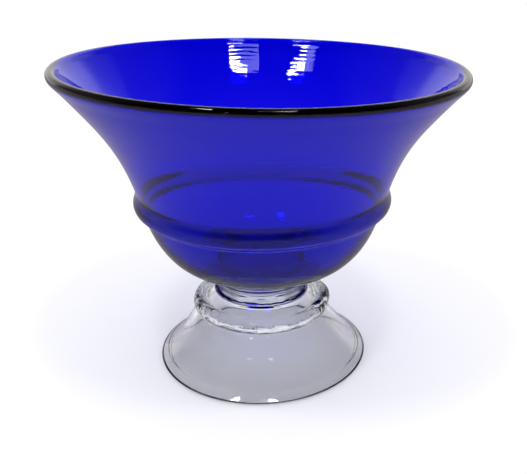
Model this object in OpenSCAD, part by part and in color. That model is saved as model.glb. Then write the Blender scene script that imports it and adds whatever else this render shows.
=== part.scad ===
// A hand-blown footed bowl: a flared cobalt bowl with a beaded lip and a ring
// round its waist, on a clear post and a hollow clear foot with a wrapped collar.
// Millimetres, +Z up. The origin is the centre of the circle that the foot stands
// on. Every piece is turned round the Z axis. An outline is a list of [radius,
// height] points that follow Bezier curves, so each one can be redrawn by moving
// its few driving sizes.

/* [Overall] */
// Diameter over the lip
rim_d = 190; // [170:1:220]
// Height from the table to the top of the lip
height = 150; // [142:1:165]
// Diameter of the foot
foot_d = 107; // [98:1:124]

/* [Bowl] */
// Height of the underside of the cup, on the axis
cup_z = 48; // [46:0.5:52]
// Wall thickness of the blown bowl at the waist
wall = 2.8; // [2:0.1:4]
// Wall thickness of the blown bowl at the lip
lip_wall = 4.1; // [2.8:0.1:4.2]
// Thickness of the cup's bottom, on the axis
base_wall = 5.5; // [4:0.1:8]
// Outer radius of the wall at the waist
waist_r = 59.4; // [56:0.1:63]
// Height of the waist
waist_z = 85.4; // [82:0.1:90]
// Lean of the wall from upright at the waist
waist_lean = 14; // [8:1:20]
// Lean of the wall from upright at the lip
lip_lean = 39.4; // [32:0.1:48]
// How far the bottom of the cup stays flat before it turns up
cup_flat = 29; // [22:1:34]
// How far the side of the cup follows the waist's lean downwards
cup_side = 39; // [28:1:44]
// How far the flare follows the waist's lean upwards
flare_rise = 32.4; // [24:0.1:38]
// How far the flare follows the lip's lean downwards
flare_sweep = 27; // [18:1:34]

/* [Wraps] */
// Thickness of the bead round the lip
lip_bead = 4.7; // [4.6:0.1:7]
// Height of the ring round the waist
waist_wrap_h = 9.6; // [6:0.1:12]
// Outer diameter of the ring round the waist
waist_wrap_d = 125.2; // [124:0.1:131]
// Height of the middle of that ring
waist_wrap_z = 86.8; // [84:0.1:90]
// Thickness of the thread that makes the collar
collar_bead = 7.4; // [6:0.1:9]
// Outer diameter of the collar
collar_d = 69.8; // [67:0.1:73]
// Height of the middle of the collar
collar_z = 29.6; // [28.5:0.1:31]

/* [Post] */
// Radius of the post at its narrowest
post_r = 22.2; // [19:0.1:22.5]
// Radius of the post's two ends
post_end_r = 23; // [22.6:0.1:23.6]
// Height of the cobalt thread round the bottom of the post
thread_h = 1.4; // [0.8:0.1:2]
// Outer radius of that thread
thread_r = 24.1; // [23.8:0.1:24.6]

/* [Foot] */
// Height of the flat top of the foot, where the post is joined on
foot_top_z = 36.6; // [35:0.1:38]
// Radius of the foot just under the collar
foot_neck_r = 33; // [32:0.1:34]
// Height of that neck
foot_neck_z = 26.6; // [25.5:0.1:27.5]
// Wall thickness of the foot at its edge
foot_wall = 2.2; // [1.6:0.1:3]
// Wall thickness of the foot's shoulder
shoulder_wall = 3.2; // [2.6:0.1:4.2]
// Width of the flat ring that the foot stands on
rest_w = 1.6; // [1:0.1:2]

/* [Hidden] */
$fn = 96;

cobalt = [0.06, 0.04, 0.55];
cobalt_dark = [0.02, 0.02, 0.18];
clear = [0.80, 0.84, 0.93];
clear_thick = [0.72, 0.80, 0.84];

curve_steps = 22;      // straight pieces in each Bezier curve
over = 4;              // how far a cutting outline reaches past what it cuts

// A point on a cubic Bezier curve, the curve as a list, and its left-hand normal.
function bezier(c, t) = pow(1 - t, 3) * c[0] + 3 * pow(1 - t, 2) * t * c[1]
    + 3 * (1 - t) * t * t * c[2] + pow(t, 3) * c[3];
function curve(c, from = 0) = [for (i = [from:curve_steps]) bezier(c, i / curve_steps)];
function slope(c, t) = pow(1 - t, 2) * (c[1] - c[0]) + 2 * (1 - t) * t * (c[2] - c[1])
    + t * t * (c[3] - c[2]);
function normal(c, t) = let (s = slope(c, t)) [-s[1], s[0]] / norm(s);
// The curve moved sideways, from a thickness at its start to one at its end.
function inset(c, t0, t1, from = 0) = [for (i = [from:curve_steps])
    let (t = i / curve_steps) bezier(c, t) + normal(c, t) * (t0 + (t1 - t0) * t)];
function reversed(list) = [for (i = [len(list) - 1:-1:0]) list[i]];
// A rounded box: a superellipse, square for a high power and an ellipse at 2.
function rounded(a, power) = sign(a) * pow(abs(a), 2 / power);

// Bowl: one curve for the cup and one for the flare, which share the waist's lean.
waist = [waist_r, waist_z];
up_waist = [sin(waist_lean), cos(waist_lean)];
up_lip = [sin(lip_lean), cos(lip_lean)];
out_lip = [cos(lip_lean), -sin(lip_lean)];
bead_at = [rim_d / 2 - lip_bead / 2, height - lip_bead / 2];
lip_end = bead_at + out_lip * lip_wall / 2;
cup_curve = [[0, cup_z], [cup_flat, cup_z], waist - up_waist * cup_side, waist];
flare_curve = [waist, waist + up_waist * flare_rise, lip_end - up_lip * flare_sweep,
               lip_end];
bowl_outside = concat(curve(cup_curve), curve(flare_curve, 1));
bowl_inside = concat(inset(cup_curve, base_wall, wall), inset(flare_curve, wall, lip_wall, 1));

// Foot: a shoulder under the post, then a skirt that flares to the edge.
shoulder_curve = [[foot_neck_r, foot_neck_z], [foot_neck_r - 2.5, foot_neck_z + 3.9],
                  [thread_r + 3.4, foot_top_z - 2.6], [thread_r - 0.1, foot_top_z]];
edge_z = 1.9;          // height of the foot's widest line
edge_round = 1;        // how far the edge rounds under
skirt_curve = [[foot_d / 2, edge_z], [foot_d / 2 - 10.5, edge_z + 7.1],
               [foot_neck_r + 4.5, foot_neck_z - 6.6], [foot_neck_r, foot_neck_z]];
foot_outside = concat(curve(skirt_curve), curve(shoulder_curve, 1));
skirt_inside = inset(skirt_curve, foot_wall, shoulder_wall, 3);
shoulder_inside = inset(shoulder_curve, shoulder_wall, shoulder_wall, 1);
rest_r = foot_d / 2 - edge_round - rest_w;
dome_z = foot_top_z - 4.4;

// Everything inside the outer face of the bowl, as a turned solid's outline.
module bowl_shadow() {
    polygon(concat(bowl_outside, [[0, lip_end[1]]]));
}

module bowl() {
    color(cobalt)
    rotate_extrude()
    polygon(concat(bowl_outside, reversed(bowl_inside)));
}

module lip_wrap() {
    color(cobalt_dark)
    rotate_extrude()
    difference() {
        translate(bead_at) circle(d = lip_bead);
        polygon(concat(bowl_outside, reversed(bowl_inside)));
    }
}

module waist_wrap() {
    squareness = 2.6;
    depth = waist_wrap_d / 2 - waist_r;
    color(cobalt_dark)
    rotate_extrude()
    difference() {
        translate([waist_r, waist_wrap_z])
        polygon([for (i = [0:47]) let (a = i * 7.5)
            [depth * rounded(cos(a), squareness),
             waist_wrap_h / 2 * rounded(sin(a), squareness)]]);
        bowl_shadow();
    }
}

module post() {
    pinch_z = (foot_top_z + cup_z) / 2;
    color(clear)
    rotate_extrude()
    difference() {
        polygon(concat(
            [[0, foot_top_z], [post_end_r, foot_top_z]],
            curve([[post_end_r, foot_top_z + thread_h], [post_r, pinch_z - 1.5],
                   [post_r, pinch_z + 1.5], [post_end_r, cup_z + over]]),
            [[0, cup_z + over]]));
        bowl_shadow();
    }
}

module post_thread() {
    // A thread that is laid against the post and sits on the foot's shoulder.
    color(cobalt)
    rotate_extrude()
    difference() {
        union() {
            translate([post_end_r - 0.5, foot_top_z])
            square([thread_r - post_end_r - 0.2, thread_h]);
            translate([thread_r - thread_h / 2, foot_top_z + thread_h / 2])
            circle(d = thread_h);
        }
        square([post_end_r, foot_top_z + over]);
    }
}

module foot() {
    color(clear)
    rotate_extrude()
    polygon(concat(
        [[rest_r, 0], [rest_r + rest_w, 0]],
        [for (a = [-60:30:-1]) [foot_d / 2 - edge_round, edge_round]
            + edge_round * [cos(a), sin(a)]],
        foot_outside,
        [[0, foot_top_z], [0, dome_z]],
        reversed(shoulder_inside), reversed(skirt_inside)));
}

module collar_wrap() {
    color(clear_thick)
    rotate_extrude()
    difference() {
        translate([(collar_d - collar_bead) / 2, collar_z]) circle(d = collar_bead);
        polygon(concat(foot_outside, [[0, foot_top_z], [0, 0]]));
    }
}

bowl();
lip_wrap();
waist_wrap();
post();
post_thread();
collar_wrap();
foot();
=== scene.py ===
import math

import bpy
import numpy as np
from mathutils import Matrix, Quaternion, Vector


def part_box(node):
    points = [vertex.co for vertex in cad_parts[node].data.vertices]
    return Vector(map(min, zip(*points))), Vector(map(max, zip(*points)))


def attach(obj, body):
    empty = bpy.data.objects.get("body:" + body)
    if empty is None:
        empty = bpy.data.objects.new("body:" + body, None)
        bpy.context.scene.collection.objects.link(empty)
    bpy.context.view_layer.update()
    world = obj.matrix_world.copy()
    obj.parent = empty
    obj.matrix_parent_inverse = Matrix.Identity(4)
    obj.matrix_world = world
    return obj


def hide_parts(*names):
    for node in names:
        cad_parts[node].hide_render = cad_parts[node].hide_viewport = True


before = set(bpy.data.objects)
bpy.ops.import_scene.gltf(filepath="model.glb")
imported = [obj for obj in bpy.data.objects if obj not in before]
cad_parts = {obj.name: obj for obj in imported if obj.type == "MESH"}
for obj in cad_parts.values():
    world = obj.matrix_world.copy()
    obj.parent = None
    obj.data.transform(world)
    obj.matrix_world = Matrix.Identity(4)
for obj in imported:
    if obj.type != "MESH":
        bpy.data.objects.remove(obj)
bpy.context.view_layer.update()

# ---------------------------------------------------------------- sizes, in mm
MM = 0.001
SEGMENTS = 288  # meridians of every turned piece
SHARP_ANGLE = math.radians(38)  # edges sharper than this aren't shaded smooth
FUSE = 0.03  # how far a joint face sits from its neighbour's


def box_mm(node):
    lo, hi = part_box(node)
    return np.array(lo) / MM, np.array(hi) / MM


CUP_Z = box_mm("bowl")[0][2]  # the underside of the cup
LIP_R, LIP_Z = box_mm("lip_wrap")[1][[0, 2]]
RING_LO, RING_HI = box_mm("waist_wrap")
COLLAR_LO, COLLAR_HI = box_mm("collar_wrap")
POST_R = box_mm("post")[1][0]
THREAD_R = box_mm("post_thread")[1][0]
FOOT_R, FOOT_TOP = box_mm("foot")[1][[0, 2]]

# The bowl: its wall at the waist, at the lip and under the cup, the outline's waist as
# a radius and a height, its lean there and at the lip, and how far each curve pulls.
WALL, LIP_WALL, BASE_WALL = 2.8, 4.1, 5.5
WAIST = np.array([59.4, 85.4])
WAIST_LEAN, LIP_LEAN = math.radians(14.0), math.radians(39.4)
CUP_FLAT, CUP_SIDE, FLARE_RISE, FLARE_SWEEP = 29.0, 39.0, 32.4, 27.0

BEAD = 4.7  # thickness of the lip's thread
MELT_OUT, MELT_IN = 7.0, 2.6  # how far it has melted down the two faces of the wall
RING_RISE, RING_FLAT, RING_FALL = 5.4, 1.0, 7.2  # up the wall: its foot, crest and shoulder
RING_DROP = 1.2  # the crest lies this far below the middle of the ring

# The foot: the narrow place of its neck, its wall, and the height of its outer edge.
NECK = np.array([33.0, 26.6])
FOOT_WALL, SHOULDER_WALL, EDGE_Z = 2.2, 3.2, 1.9
FOOT_ROOF = 4.4  # how thick the closed top of the foot is on the axis
COLLAR_R, COLLAR_MELT = 3.7, 0.9  # the collar's thread, and its fillets along the wall
LAP_AT = math.radians(8)  # where the collar's two ends lap over each other
POST_PINCH, POST_RIPPLE = 22.2, 0.16  # the post's waist, and the depth of its ripples


# ------------------------------------------------------------ outline helpers
def bezier(c, n=160):
    """n points of the cubic curve with the four control points c."""
    c = np.array(c, float)
    t = np.linspace(0, 1, n)[:, None]
    return (
        (1 - t) ** 3 * c[0]
        + 3 * (1 - t) ** 2 * t * c[1]
        + 3 * (1 - t) * t * t * c[2]
        + t**3 * c[3]
    )


def joined(*lines):
    """One polyline from several, without the doubled joints."""
    out = [lines[0]]
    for line in lines[1:]:
        skip = np.linalg.norm(line[0] - out[-1][-1]) < 1e-6
        out.append(line[1:] if skip else line)
    return np.concatenate(out)


def lengths(p):
    """The arc length of a polyline at each of its points."""
    return np.concatenate([[0], np.cumsum(np.linalg.norm(np.diff(p, axis=0), axis=1))])


def at(p, s, run):
    """The points of polyline p at the arc lengths s. run is its lengths(p)."""
    return np.stack([np.interp(s, run, p[:, 0]), np.interp(s, run, p[:, 1])], axis=-1)


def normals(p):
    """Left-hand unit normals of a polyline."""
    d = np.gradient(p, axis=0)
    n = np.stack([-d[:, 1], d[:, 0]], axis=1)
    return n / np.linalg.norm(n, axis=1)[:, None]


def stations(total, step, marks=(), fine=0.25, reach=1.6):
    """Arc lengths from 0 to total, closer together near each mark and exactly on it."""
    s, out = 0.0, [0.0]
    marks = sorted(marks)
    while s < total:
        gap = min([abs(s - m) for m in marks], default=1e9)
        s += step if gap > reach else fine + (step - fine) * gap / reach
        out.append(min(s, total))
    for m in marks:
        i = min(range(1, len(out) - 1), key=lambda k: abs(out[k] - m))
        out[i] = m
    return np.array(sorted(set(out)))


def wave(phi, *terms):
    """A slow hand-made wander round the axis: (amplitude, turns, phase) terms."""
    return sum(a * np.sin(k * phi + p) for a, k, p in terms)


def bumps(x, y, seed, scale=1.0):
    """Smooth seeded noise of two coordinates, about -1 to 1."""
    rng = np.random.default_rng(seed)
    total = np.zeros(np.broadcast(x, y).shape)
    for _ in range(9):
        kx, ky = rng.normal(0, scale, 2)
        total += np.sin(kx * x + ky * y + rng.uniform(0, 2 * math.pi))
    return total / 4.5


# ------------------------------------------------- the outlines of the vessel
up_waist = np.array([math.sin(WAIST_LEAN), math.cos(WAIST_LEAN)])
up_lip = np.array([math.sin(LIP_LEAN), math.cos(LIP_LEAN)])
out_lip = np.array([math.cos(LIP_LEAN), -math.sin(LIP_LEAN)])
bead_at = np.array([LIP_R - BEAD / 2, LIP_Z - BEAD / 2])
lip_end = bead_at + out_lip * LIP_WALL / 2

cup = bezier([(0, CUP_Z), (CUP_FLAT, CUP_Z), WAIST - up_waist * CUP_SIDE, WAIST])
flare = bezier(
    [WAIST, WAIST + up_waist * FLARE_RISE, lip_end - up_lip * FLARE_SWEEP, lip_end]
)
bowl_outer = joined(cup, flare)
under_cup = bowl_outer[:120]  # its first stretch, where the radius only grows
cup_thick = np.linspace(BASE_WALL, WALL, len(cup))[:, None]
flare_thick = np.linspace(WALL, LIP_WALL, len(flare))[:, None]
bowl_inner = joined(cup + normals(cup) * cup_thick, flare + normals(flare) * flare_thick)
bowl_inner[0, 0] = 0.0

shoulder = bezier(
    [
        NECK,
        NECK + (-2.5, 3.9),
        (THREAD_R + 3.4, FOOT_TOP - 2.6),
        (THREAD_R - 0.1, FOOT_TOP),
    ],
    90,
)
skirt = bezier(
    [(FOOT_R, EDGE_Z), (FOOT_R - 10.5, EDGE_Z + 7.1), NECK + (4.5, -6.6), NECK], 120
)
foot_outer = joined(skirt, shoulder)
run_outer, run_inner, run_foot = lengths(bowl_outer), lengths(bowl_inner), lengths(foot_outer)


# ------------------------------------------------------------------- warping
TILT = -2.6 / 190  # the lip runs down to the right
LIP_SHIFT = -1.2  # and sits a little to the left
RING_TILT = 0.85 / 125  # the ring runs up to the right
FOOT_OVAL, FOOT_OVAL_AT = 0.027, math.radians(42)  # how oval, and where it is widest
FOOT_SHIFT, NECK_SHIFT = 0.8, -0.5  # the foot's rim sits to the right, its neck to the left


def smooth(x, a, b):
    """0 up to a, 1 from b, smooth between."""
    t = np.clip((x - a) / (b - a), 0, 1)
    return t * t * (3 - 2 * t)


def settle(x, y, z):
    """The leans and ovals of hand work, the same for every piece, so joints stay shut."""
    phi = np.arctan2(y, x)
    high = smooth(z, WAIST[1] + 4, LIP_Z)
    mid = smooth(z, CUP_Z + 3, WAIST[1]) * (1 - high)
    low = 1 - smooth(z, 4, FOOT_TOP)
    oval = 1 + low * FOOT_OVAL * np.cos(2 * (phi - FOOT_OVAL_AT))
    oval += high * wave(phi, (0.0022, 2, 0.6), (0.0012, 3, 2.0))
    dz = high * (TILT * x + wave(phi, (0.25, 2, 1.1), (0.12, 3, 0.4)))
    dz += mid * (RING_TILT * x + wave(phi, (0.12, 2, 2.2)))
    neck = smooth(z, 8, NECK[1])
    slip = FOOT_SHIFT + (NECK_SHIFT - FOOT_SHIFT) * neck
    slip = slip * (1 - smooth(z, CUP_Z + 2, CUP_Z + 18))
    return x * oval + high * LIP_SHIFT + slip, y * oval, z + dz


# -------------------------------------------------------------- mesh builder
def turned(name, outline, glass, fused, closed=False):
    """A turned piece. outline(phi) gives the points [r, z] and each face row's
    material, 0 for glass and 1 for a fused joint. An open outline starts and ends
    on the axis."""
    phis = np.arange(SEGMENTS) * 2 * math.pi / SEGMENTS
    rows = [outline(p) for p in phis]
    pts = np.array([r[0] for r in rows])  # by meridian, point, and r or z
    mats = np.array([r[1] for r in rows])
    n = pts.shape[1]
    c, s = np.cos(phis)[:, None], np.sin(phis)[:, None]
    x, y, z = settle(pts[..., 0] * c, pts[..., 0] * s, pts[..., 1])
    co = np.stack([x, y, z], axis=-1) * MM
    verts, index = [], np.zeros((SEGMENTS, n), int)
    poles = [] if closed else [0, n - 1]
    for i in range(n):
        if i in poles:
            index[:, i] = len(verts)
            verts.append(co[:, i].mean(axis=0))
        else:
            index[:, i] = np.arange(SEGMENTS) + len(verts)
            verts.extend(co[:, i])
    faces, face_mats = [], []
    span = n if closed else n - 1
    for k in range(SEGMENTS):
        m = (k + 1) % SEGMENTS
        for i in range(span):
            j = (i + 1) % n
            quad = [index[k, i], index[m, i], index[m, j], index[k, j]]
            quad = list(dict.fromkeys(quad))  # a triangle at the axis
            if len(quad) > 2:
                faces.append(quad)
                face_mats.append(int(mats[k, i]))
    mesh = bpy.data.meshes.new(name)
    mesh.from_pydata([tuple(v) for v in verts], [], faces)
    mesh.validate()
    mesh.update()
    ob = bpy.data.objects.new(name, mesh)
    bpy.context.scene.collection.objects.link(ob)
    for m in (glass, fused):
        mesh.materials.append(m)
    mesh.polygons.foreach_set("material_index", face_mats)
    mesh.polygons.foreach_set("use_smooth", [True] * len(mesh.polygons))
    if volume_of(mesh) < 0:
        mesh.flip_normals()
    mesh.set_sharp_from_angle(angle=SHARP_ANGLE)
    return ob


def volume_of(mesh):
    """Six times the volume, below 0 where the normals point in."""
    mesh.calc_loop_triangles()
    co = np.zeros(len(mesh.vertices) * 3)
    mesh.vertices.foreach_get("co", co)
    tri = np.zeros(len(mesh.loop_triangles) * 3, int)
    mesh.loop_triangles.foreach_get("vertices", tri)
    a, b, c = co.reshape(-1, 3)[tri.reshape(-1, 3)].transpose(1, 0, 2)
    return float(np.einsum("ij,ij->i", a, np.cross(b, c)).sum())


# ----------------------------------------------------------------- materials
GLASS_IOR, JOINT_IOR = 1.5, 1.0001
# How strongly each glass absorbs red, green and blue, per mm.
COBALT = (1.6, 1.7, 0.106)
CLEAR = (0.012, 0.010, 0.006)
TRAILED = (0.046, 0.038, 0.048)


def material(name):
    m = bpy.data.materials.new(name)
    m.use_nodes = True
    nt = m.node_tree
    nt.nodes.clear()
    return m, nt, nt.nodes.new("ShaderNodeOutputMaterial")


def math_node(nt, op, a, b=None):
    node = nt.nodes.new("ShaderNodeMath")
    node.operation = op
    for socket, value in zip(node.inputs, (a, b)):
        if hasattr(value, "is_linked"):
            nt.links.new(value, socket)
        elif value is not None:
            socket.default_value = value
    return node.outputs[0]


def colour_ramp(nt, factor, stops):
    """The colour at factor on a ramp of (position, (red, green, blue)) stops."""
    node = nt.nodes.new("ShaderNodeValToRGB")
    nt.links.new(factor, node.inputs[0])
    elements = node.color_ramp.elements
    for k, (place, colour) in enumerate(sorted(stops)):
        if k == 0 or k == len(stops) - 1:
            e = elements[-1 if k else 0]
        else:
            e = elements.new(place)
        e.position, e.color = place, (*colour, 1)
    return node.outputs[0]


def blend(nt, factor, first, second):
    """The first colour where factor is 0, the second where it is 1."""
    node = nt.nodes.new("ShaderNodeMix")
    node.data_type = "RGBA"
    nt.links.new(factor, node.inputs[0])
    for socket, value in ((node.inputs[6], first), (node.inputs[7], second)):
        if hasattr(value, "is_linked"):
            nt.links.new(value, socket)
        else:
            socket.default_value = (*value, 1)
    return node.outputs[2]


def edge_of(nt, value, low, high):
    """0 below low, 1 above high, smooth between."""
    node = nt.nodes.new("ShaderNodeMapRange")
    node.interpolation_type = "SMOOTHSTEP"
    nt.links.new(value, node.inputs["Value"])
    node.inputs["From Min"].default_value = low
    node.inputs["From Max"].default_value = high
    return node.outputs[0]


def tint(nt, absorb, wall_mm, always=False):
    """The colour of light that has run through the glass, by the Beer-Lambert law,
    with absorb per mm. A ray that comes from inside has its own length in
    the glass. One that comes from outside keeps its colour, unless it is always in
    the glass, as at a joint. A bake has no ray, and its length reads as 1 m, so it
    takes the tint of one wall."""
    path = nt.nodes.new("ShaderNodeLightPath")
    side = nt.nodes.new("ShaderNodeNewGeometry")
    run = path.outputs["Ray Length"]
    baked = math_node(nt, "COMPARE", run, 1.0)
    baked.node.inputs[2].default_value = 1e-5  # how close to 1 m counts as 1 m
    inside = 1.0 if always else side.outputs["Backfacing"]
    free = math_node(nt, "MULTIPLY", inside, math_node(nt, "SUBTRACT", 1.0, baked))
    deep = math_node(nt, "MULTIPLY", run, 1 / MM)
    deep = math_node(nt, "MULTIPLY", deep, free)
    deep = math_node(nt, "ADD", deep, math_node(nt, "MULTIPLY", baked, wall_mm))
    colour = nt.nodes.new("ShaderNodeCombineColor")
    for i, k in enumerate(absorb):
        power = math_node(nt, "MULTIPLY", deep, -k)
        nt.links.new(math_node(nt, "EXPONENT", power), colour.inputs[i])
    return colour.outputs[0]


def glass(name, absorb, wall_mm, ripple=None):
    m, nt, out = material(name)
    bsdf = nt.nodes.new("ShaderNodeBsdfGlass")
    bsdf.inputs["Roughness"].default_value = 0.0
    bsdf.inputs["IOR"].default_value = GLASS_IOR
    nt.links.new(tint(nt, absorb, wall_mm), bsdf.inputs["Color"])
    if ripple:
        nt.links.new(ripple(nt), bsdf.inputs["Normal"])
    nt.links.new(bsdf.outputs[0], out.inputs["Surface"])
    return m


def joint(name, absorb):
    """Where two gathers are fused, light goes on straight, with no surface to bend it."""
    m, nt, out = material(name)
    bsdf = nt.nodes.new("ShaderNodeBsdfRefraction")
    bsdf.inputs["Roughness"].default_value = 0.0
    bsdf.inputs["IOR"].default_value = JOINT_IOR
    nt.links.new(tint(nt, absorb, 0.0, always=True), bsdf.inputs["Color"])
    nt.links.new(bsdf.outputs[0], out.inputs["Surface"])
    return m


def tooled(height_mm, round_scale, up_scale, rings_mm=0.0, ring_gap_mm=2.2):
    """Marks of turning and tooling: noise stretched round the axis, and over it fine
    rings that wander a little."""

    def build(nt):
        place = nt.nodes.new("ShaderNodeTexCoord")
        squash = nt.nodes.new("ShaderNodeMapping")
        squash.inputs["Scale"].default_value = (round_scale, round_scale, up_scale)
        nt.links.new(place.outputs["Object"], squash.inputs["Vector"])
        noise = nt.nodes.new("ShaderNodeTexNoise")
        noise.inputs["Scale"].default_value = 1.0
        noise.inputs["Detail"].default_value = 2.0
        nt.links.new(squash.outputs[0], noise.inputs["Vector"])
        height = math_node(nt, "MULTIPLY", noise.outputs["Fac"], height_mm)
        if rings_mm:
            rings = nt.nodes.new("ShaderNodeTexWave")
            rings.bands_direction = "Z"
            rings.inputs["Scale"].default_value = 2 * math.pi / (20 * ring_gap_mm * MM)
            rings.inputs["Distortion"].default_value = 7.0
            rings.inputs["Detail"].default_value = 1.0
            rings.inputs["Detail Scale"].default_value = 0.25
            nt.links.new(place.outputs["Object"], rings.inputs["Vector"])
            fine = math_node(nt, "MULTIPLY", rings.outputs["Fac"], rings_mm)
            height = math_node(nt, "ADD", height, fine)
        bump = nt.nodes.new("ShaderNodeBump")
        bump.inputs["Strength"].default_value = 1.0
        bump.inputs["Distance"].default_value = MM
        nt.links.new(height, bump.inputs["Height"])
        return bump.outputs["Normal"]

    return build


cobalt = glass("cobalt_blown", COBALT, WALL, tooled(0.08, 12, 260, rings_mm=0.009))
bead_glass = glass("cobalt_bead", COBALT, BEAD)
ring_glass = glass("cobalt_ring", COBALT, 3.4)
clear = glass("clear_blown", CLEAR, 3.0, tooled(0.04, 25, 160))
trailed = glass("clear_trailed", TRAILED, 5.0, tooled(1.4, 130, 240))
cobalt_joint = joint("cobalt_joint", COBALT)
clear_joint = joint("clear_joint", CLEAR)


# ----------------------------------------------------------------- the wraps
def lap(phi, width):
    """1 where the collar's ends lap over each other, falling off to both sides."""
    d = (phi - LAP_AT + math.pi) % (2 * math.pi) - math.pi
    return math.exp(-((d / width) ** 2))


def collar_centre(phi):
    out = 0.45 * lap(phi, 0.25) + wave(phi, (0.12, 2, 0.5))
    up = 0.6 * lap(phi, 0.3) + wave(phi, (0.2, 3, 0.7))
    return collar_mid + (out, up)


def collar_size(phi):
    return COLLAR_R * (1 + 0.09 * lap(phi, 0.22) + wave(phi, (0.02, 3, 0.9), (0.015, 7, 0)))


def collar_gap(phi, p):
    """Below 0 inside the collar's thread, above 0 outside it."""
    return (((p - collar_centre(phi)) / collar_size(phi)) ** 2).sum(-1) - 1


def crossing(line, run, f, near, reach=9.0):
    """Arc lengths where f changes sign on the line, within reach of near."""
    v = f(line)
    k = np.nonzero((v[:-1] < 0) != (v[1:] < 0))[0]
    s = run[k] + (run[k + 1] - run[k]) * v[k] / (v[k] - v[k + 1])
    return s[np.abs(s - near) < reach]


collar_mid = np.array([COLLAR_HI[0] - COLLAR_R, (COLLAR_LO[2] + COLLAR_HI[2]) / 2])
collar_s = float(run_foot[np.argmin(np.linalg.norm(foot_outer - collar_mid, axis=1))])
ring_proud = RING_HI[0] - WAIST[0] - 0.05
ring_z = (RING_LO[2] + RING_HI[2]) / 2 - RING_DROP
ring_s = float(np.interp(ring_z, bowl_outer[:, 1], run_outer))


def bead_free(phi, n=18):
    """The lip's thread: a round edge that tapers smoothly into both faces of the wall."""
    r = BEAD / 2 * (1 + wave(phi, (0.02, 2, 1.5), (0.015, 5, 0.2)))
    angles = np.radians(np.linspace(0, 180, 2 * n))[:, None]
    cap = bead_at + r * (np.cos(angles) * out_lip + np.sin(angles) * up_lip)
    start, end = bead_marks(phi)
    proud = (r - LIP_WALL / 2) * smooth(np.linspace(0, 1, n), 0, 1)[:, None]
    rise = at(bowl_outer, np.linspace(start, run_outer[-1], n), run_outer)
    fall = at(bowl_inner, np.linspace(end, run_inner[-1], n), run_inner)
    rise, fall = rise - normals(rise) * proud, fall + normals(fall) * proud
    return joined(rise[:-1], cap, fall[::-1][1:])


def ring_marks(phi):
    """The arc lengths where the ring's lower and upper edge meet the wall."""
    crest = ring_s + wave(phi, (0.25, 1, 2.0), (0.15, 4, 0))
    return crest - RING_RISE, crest + RING_FLAT + RING_FALL


def ring_height(phi, s):
    """How far the ring stands off the wall at arc length s."""
    a, b = ring_marks(phi)
    proud = ring_proud * (1 + wave(phi, (0.03, 2, 0.3), (0.02, 5, 1.0)))
    return proud * smooth(s, a, a + RING_RISE) * (1 - smooth(s, b - RING_FALL, b))


def bead_marks(phi):
    """The arc lengths where the lip's thread ends, on the outer and the inner face."""
    slip = wave(phi, (0.25, 2, 0.4), (0.15, 5, 1.0))
    return run_outer[-1] - MELT_OUT + slip, run_inner[-1] - MELT_IN - slip


def collar_cut(phi):
    """The arc lengths where the round thread would cut the wall."""
    return crossing(foot_outer, run_foot, lambda p: collar_gap(phi, p), collar_s)


def collar_marks(phi):
    """The arc lengths where its fillets end."""
    a, b = collar_cut(phi)
    return a - COLLAR_MELT, b + COLLAR_MELT


def mapped(stations_at, base, now, total):
    """The stations slid along the line so that the base marks fall on the new ones."""
    return np.interp(stations_at, [0, *base, total], [0, *now, total])


# -------------------------------------------------------------------- pieces
post_edge = float(np.interp(POST_R - 0.05, under_cup[:, 0], run_outer[: len(under_cup)]))
base_ring, base_bead = ring_marks(0.0), bead_marks(0.0)
outer_marks = [post_edge, *base_ring, base_bead[0]]
outer_st = stations(run_outer[-1], 1.5, outer_marks)
inner_st = stations(run_inner[-1], 1.5, [base_bead[1]])
is_joint_outer = np.zeros(len(outer_st) - 1, int)
for k, (a, b) in enumerate(zip(outer_st, outer_st[1:])):
    m = (a + b) / 2
    if m < post_edge or base_ring[0] < m < base_ring[1] or m > base_bead[0]:
        is_joint_outer[k] = 1
is_joint_inner = np.array(
    [int((a + b) / 2 > base_bead[1]) for a, b in zip(inner_st, inner_st[1:])]
)


def bowl_outline(phi):
    b = bead_marks(phi)
    so = mapped(outer_st, outer_marks, [post_edge, *ring_marks(phi), b[0]], run_outer[-1])
    si = mapped(inner_st, [base_bead[1]], [b[1]], run_inner[-1])
    pts = np.concatenate([at(bowl_outer, so, run_outer), at(bowl_inner, si, run_inner)[::-1]])
    mats = np.concatenate([is_joint_outer, [1], is_joint_inner[::-1]])
    return pts, mats


def collar_outline(phi, n=40):
    """The collar's free face with its fillets, then its joint face, just under the
    wall's surface."""
    centre, size = collar_centre(phi), collar_size(phi)
    (c, d), (a, b) = collar_cut(phi), collar_marks(phi)
    pc, pd, pa, pb = at(foot_outer, np.array([c, d, a, b]), run_foot)
    tc, td = (math.atan2(*(q - centre)[::-1]) for q in (pc, pd))
    turn = COLLAR_MELT / size * 0.8 * (1 if td > tc else -1)
    t = np.linspace(tc + turn, td - turn, n)
    arc = centre + size * np.stack([np.cos(t), np.sin(t)], -1)
    lead, trail = arc[0] - arc[1], arc[-1] - arc[-2]
    lead, trail = (v / np.linalg.norm(v) * COLLAR_MELT * 0.55 for v in (lead, trail))
    on, off = (pc - pa) * 0.75, (pb - pd) * 0.75
    start = bezier([pa, pa + on, arc[0] + lead, arc[0]], 9)
    end = bezier([arc[-1], arc[-1] + trail, pb - off, pb], 9)
    free = joined(start, arc, end)
    wall = at(foot_outer, np.linspace(b, a, n // 2), run_foot)
    back = (wall - normals(wall) * FUSE)[1:-1]
    mats = np.concatenate([np.zeros(len(free) - 1, int), np.ones(len(back) + 1, int)])
    return np.concatenate([free, back]), mats


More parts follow.
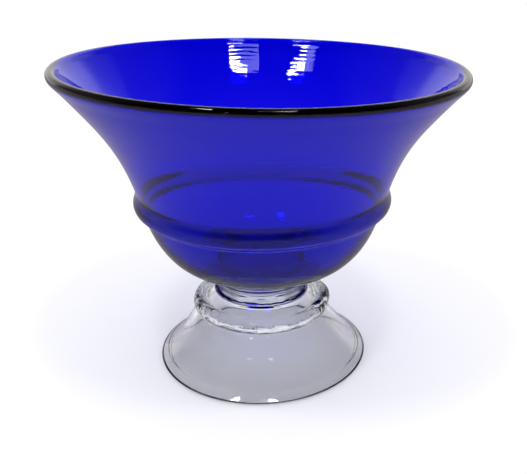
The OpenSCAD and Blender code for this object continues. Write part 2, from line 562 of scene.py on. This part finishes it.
def ring_outline(phi, n=56):
    a, b = ring_marks(phi)
    st = np.linspace(a, b, n)
    wall = at(bowl_outer, st, run_outer)
    free = wall - normals(wall) * ring_height(phi, st)[:, None]
    under = at(bowl_outer, np.linspace(b, a, n // 2), run_outer)
    back = (under - normals(under) * FUSE)[1:-1]  # the line runs down, so its normals point out
    mats = np.concatenate([np.zeros(n - 1, int), np.ones(len(back) + 1, int)])
    return np.concatenate([free, back]), mats


def bead_outline(phi):
    a, b = bead_marks(phi)
    free = bead_free(phi)
    down = at(bowl_inner, np.linspace(b, run_inner[-1], 14), run_inner)
    down = (down - normals(down) * FUSE)[1:]
    up = at(bowl_outer, np.linspace(run_outer[-1], a, 14), run_outer)
    up = (up - normals(up) * FUSE)[:-1]
    down[-1] -= up_lip * FUSE
    up[0] -= up_lip * FUSE
    pts = np.concatenate([free, down, up])
    mats = np.ones(len(pts), int)
    mats[: len(free) - 1] = 0
    return pts, mats


foot_marks0 = collar_marks(0.0)
foot_st = stations(run_foot[-1], 1.1, foot_marks0)
foot_joint = [
    int(foot_marks0[0] < (a + b) / 2 < foot_marks0[1]) for a, b in zip(foot_st, foot_st[1:])
]
skirt_thick = np.linspace(FOOT_WALL, SHOULDER_WALL, len(skirt))[:, None]
skirt_in = (skirt + normals(skirt) * skirt_thick)[16:]  # above the rounded edge
shoulder_in = shoulder + normals(shoulder) * SHOULDER_WALL
foot_inner = joined(skirt_in, shoulder_in[1:], np.array([[0.0, FOOT_TOP - FOOT_ROOF]]))
run_foot_in = lengths(foot_inner)
foot_in_st = stations(run_foot_in[-1], 1.1)
rest_at = np.array([FOOT_R - 1.9, 0.0])  # where the foot's rounded edge rests
edge = joined(
    bezier([skirt_in[0], skirt_in[0] + (0.1, -1.6), rest_at - (0.9, 0), rest_at], 8),
    bezier([rest_at, rest_at + (0.9, 0), (FOOT_R, EDGE_Z - 1.1), (FOOT_R, EDGE_Z)], 8),
)[1:-1]


def foot_outline(phi):
    so = mapped(foot_st, list(foot_marks0), list(collar_marks(phi)), run_foot[-1])
    top = np.array([[r, FOOT_TOP] for r in np.linspace(THREAD_R - 0.1, 0, 14)[1:]])
    inner = at(foot_inner, foot_in_st, run_foot_in)[::-1]
    pts = np.concatenate([inner, edge, at(foot_outer, so, run_foot), top])
    mats = np.zeros(len(pts) - 1, int)
    k = len(inner) + len(edge)
    mats[k : k + len(foot_joint)] = foot_joint
    mats[k + len(foot_joint) :] = 1
    return pts, mats


def post_side(phi, t):
    """Radius of the post at a fraction t of its height, with its tooled ripples."""
    r = POST_PINCH + (POST_R - POST_PINCH) * (2 * t - 1) ** 2
    ripple = POST_RIPPLE * math.sin(2 * math.pi * (4.6 * t) + 0.8 * math.sin(2 * phi + 1))
    return r + ripple * math.sin(math.pi * t) ** 0.6


def thread_top(phi):
    """The height of the ragged thread round the bottom of the post."""
    return 1.4 + 0.35 * bumps(phi * 6, 0.0, 5, 1.6) + 0.25 * bumps(phi * 22, 0.0, 9, 1.5)


def post_outline(phi):
    n = 44
    top_z = float(np.interp(POST_R, *under_cup.T))
    t = np.linspace(0, 1, n)
    side = np.array([[post_side(phi, v), FOOT_TOP + (top_z - FOOT_TOP) * v] for v in t])
    side[0, 0] = side[-1, 0] = POST_R
    base = np.array([[r, FOOT_TOP + FUSE] for r in np.linspace(0, POST_R, 12)[:-1]])
    top_r = np.linspace(POST_R, 0, 24)[1:]
    top = np.stack([top_r, np.interp(top_r, *under_cup.T) - FUSE], -1)
    pts = np.concatenate([base, side, top])
    mats = np.ones(len(pts) - 1, int)
    mats[len(base) : len(base) + n - 1] = 0
    return pts, mats


def thread_outline(phi):
    h = max(0.5, float(thread_top(phi)))
    w = THREAD_R - POST_R
    t = np.linspace(-0.5 * math.pi, 0.5 * math.pi, 14)
    mid = FOOT_TOP + FUSE + h / 2
    free = np.stack([POST_R - 0.1 + (w + 0.1) * np.cos(t) ** 0.8, mid + h / 2 * np.sin(t)], -1)
    back = np.array([[POST_R - 0.1, FOOT_TOP + FUSE + h * v] for v in (0.75, 0.5, 0.25)])
    pts = np.concatenate([free, back])
    mats = np.concatenate([np.zeros(13, int), np.ones(4, int)])
    return pts, mats


made = {
    "bowl": turned("blown_bowl", bowl_outline, cobalt, cobalt_joint),
    "lip_wrap": turned("lip_bead", bead_outline, bead_glass, cobalt_joint, closed=True),
    "waist_wrap": turned("waist_ring", ring_outline, ring_glass, cobalt_joint, closed=True),
    "post": turned("clear_post", post_outline, clear, clear_joint),
    "post_thread": turned("cobalt_thread", thread_outline, cobalt, cobalt_joint, closed=True),
    "collar_wrap": turned("clear_collar", collar_outline, trailed, clear_joint, closed=True),
    "foot": turned("blown_foot", foot_outline, clear, clear_joint),
}
for node, ob in made.items():
    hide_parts(node)
    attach(ob, "root")

# ------------------------------------------------------------ floor and light
scene = bpy.context.scene


def floor_piece():
    mesh = bpy.data.meshes.new("floor")
    n, radius = 96, 9.0
    ring_co = [
        (radius * math.cos(2 * math.pi * k / n), radius * math.sin(2 * math.pi * k / n), 0)
        for k in range(n)
    ]
    mesh.from_pydata(ring_co, [], [list(range(n))])
    ob = bpy.data.objects.new("floor", mesh)
    scene.collection.objects.link(ob)
    m, nt, out = material("pale_floor")
    bsdf = nt.nodes.new("ShaderNodeBsdfDiffuse")
    path = nt.nodes.new("ShaderNodeLightPath")
    straight = math_node(nt, "SUBTRACT", 1.0, path.outputs["Is Transmission Ray"])
    mirrored = math_node(nt, "MULTIPLY", path.outputs["Is Glossy Ray"], straight)
    # painted shade: the floor's tone is dimmer where the glass mirrors it
    nt.links.new(blend(nt, mirrored, PAPER, PAPER_MIRRORED), bsdf.inputs["Color"])
    nt.links.new(bsdf.outputs[0], out.inputs["Surface"])
    mesh.materials.append(m)
    return ob


def softbox(name, at_m, aim, size, power, turn=0.0):
    """A lamp of that size and power in m and W, aimed, and turned about its own axis."""
    lamp = bpy.data.lights.new(name, "AREA")
    lamp.shape = "RECTANGLE"
    lamp.size, lamp.size_y = size
    lamp.energy = power
    ob = bpy.data.objects.new(name, lamp)
    ob.location = at_m
    facing = (Vector(aim) - Vector(at_m)).to_track_quat("-Z", "Y")
    ob.rotation_euler = (facing @ Quaternion((0, 0, 1), math.radians(turn))).to_euler()
    scene.collection.objects.link(ob)
    return ob


# The floor has one pale tone all over, except in the glass's reflections of it: there the tone
# is painted dimmer, a painted shade in the reflection, or the cobalt would have a milky veil.
PAPER = (0.92, 0.92, 0.94)
PAPER_MIRRORED = (0.38, 0.34, 0.37)
floor = floor_piece()
floor.location.z = -0.0002  # just under the foot, so that the two faces don't coincide
aim = (0, 0, 0.08)
softbox("lamp_right", (0.255, -0.425, 1.4), aim, (0.07, 0.20), 2.2, turn=-82)
softbox("lamp_right_wide", (0.145, -0.435, 1.41), aim, (0.24, 0.13), 0.26, turn=-20)
softbox("lamp_left", (-0.39, -0.385, 1.4), aim, (0.08, 0.21), 2.4, turn=81)
softbox("lamp_left_wide", (-0.475, -0.295, 1.41), aim, (0.16, 0.12), 0.19)
for name, x in (("lamp_low_l", -0.29), ("lamp_low_r", 0.29)):
    softbox(name, (x, -1.02, 0.75), aim, (0.10, 0.02), 0.06)

world = bpy.data.worlds.new("room")
scene.world = world
world.use_nodes = True
wt = world.node_tree
wt.nodes.clear()
w_out = wt.nodes.new("ShaderNodeOutputWorld")
room = wt.nodes.new("ShaderNodeBackground")
soft = wt.nodes.new("ShaderNodeBackground")
coord = wt.nodes.new("ShaderNodeTexCoord")
split = wt.nodes.new("ShaderNodeSeparateXYZ")
wt.links.new(coord.outputs["Generated"], split.inputs[0])


def sky(stops):
    """Brightness and tone by the height of a direction, from level to straight up."""
    return colour_ramp(wt, split.outputs["Z"], stops)


# What shines and mirrors in the glass is a bright backdrop behind the object, taller
# straight behind it, a dim room at its sides and a darker one in front. What lights the
# floor comes mostly from the sides.
backdrop = sky(
    (
        (0.0, (0.98, 0.93, 0.90)),
        (0.20, (0.85, 0.81, 0.79)),
        (0.45, (0.34, 0.31, 0.31)),
        (0.70, (0.09, 0.085, 0.09)),
        (1.0, (0.02, 0.02, 0.025)),
    )
)
aside = sky(
    (
        (0.0, (0.55, 0.52, 0.50)),
        (0.12, (0.40, 0.38, 0.37)),
        (0.25, (0.13, 0.12, 0.12)),
        (0.50, (0.16, 0.12, 0.14)),
        (0.75, (0.08, 0.07, 0.08)),
        (1.0, (0.02, 0.02, 0.025)),
    )
)
window = sky(
    (
        (0.0, (0.98, 0.93, 0.90)),
        (0.30, (0.95, 0.91, 0.88)),
        (0.58, (1.00, 0.97, 0.93)),
        (0.66, (0.10, 0.095, 0.10)),
        (1.0, (0.02, 0.02, 0.025)),
    )
)
dark = sky(
    (
        (0.0, (0.42, 0.40, 0.39)),
        (0.10, (0.26, 0.25, 0.24)),
        (0.22, (0.03, 0.028, 0.03)),
        (0.30, (0.02, 0.018, 0.02)),
        (1.0, (0.012, 0.012, 0.014)),
    )
)
squared = math_node(wt, "MULTIPLY", split.outputs["Z"], split.outputs["Z"])
level = math_node(wt, "SQRT", math_node(wt, "SUBTRACT", 1.0001, squared))
bearing = math_node(wt, "DIVIDE", split.outputs["Y"], level)
around = blend(wt, edge_of(wt, bearing, -0.35, 0.20), dark, aside)
around = blend(wt, edge_of(wt, bearing, 0.60, 0.68), around, backdrop)
around = blend(wt, edge_of(wt, bearing, 0.84, 0.92), around, window)
wt.links.new(around, room.inputs["Color"])
wt.links.new(
    sky(((0.0, (1.9,) * 3), (0.50, (1.6,) * 3), (0.85, (0.7,) * 3), (1.0, (0.6,) * 3))),
    soft.inputs["Color"],
)
pale = wt.nodes.new("ShaderNodeBackground")  # what the camera sees past the floor
pale.inputs["Color"].default_value = (0.97, 0.97, 0.98, 1)
lit = wt.nodes.new("ShaderNodeLightPath")
lights_floor = math_node(wt, "GREATER_THAN", lit.outputs["Diffuse Depth"], 0.5)
last = room
for shader, flag in ((soft, lights_floor), (pale, lit.outputs["Is Camera Ray"])):
    pick = wt.nodes.new("ShaderNodeMixShader")
    wt.links.new(flag, pick.inputs[0])
    wt.links.new(last.outputs[0], pick.inputs[1])
    wt.links.new(shader.outputs[0], pick.inputs[2])
    last = pick
wt.links.new(last.outputs[0], w_out.inputs["Surface"])

# --------------------------------------------------------------------- camera
cam_data = bpy.data.cameras.new("camera")
cam_data.sensor_width, cam_data.lens = 36.0, 49.46
cam = bpy.data.objects.new("camera", cam_data)
cam.location = (0.0007, -0.3372, 0.2042)
cam.rotation_euler = (math.radians(90 - 22.61), 0, 0)
cam_data.clip_start, cam_data.clip_end = 0.01, 50
scene.collection.objects.link(cam)
scene.camera = cam

scene.view_settings.view_transform = "Standard"
scene.cycles.max_bounces = 24
scene.cycles.transmission_bounces = 20
scene.cycles.glossy_bounces = 8
scene.cycles.transparent_max_bounces = 24
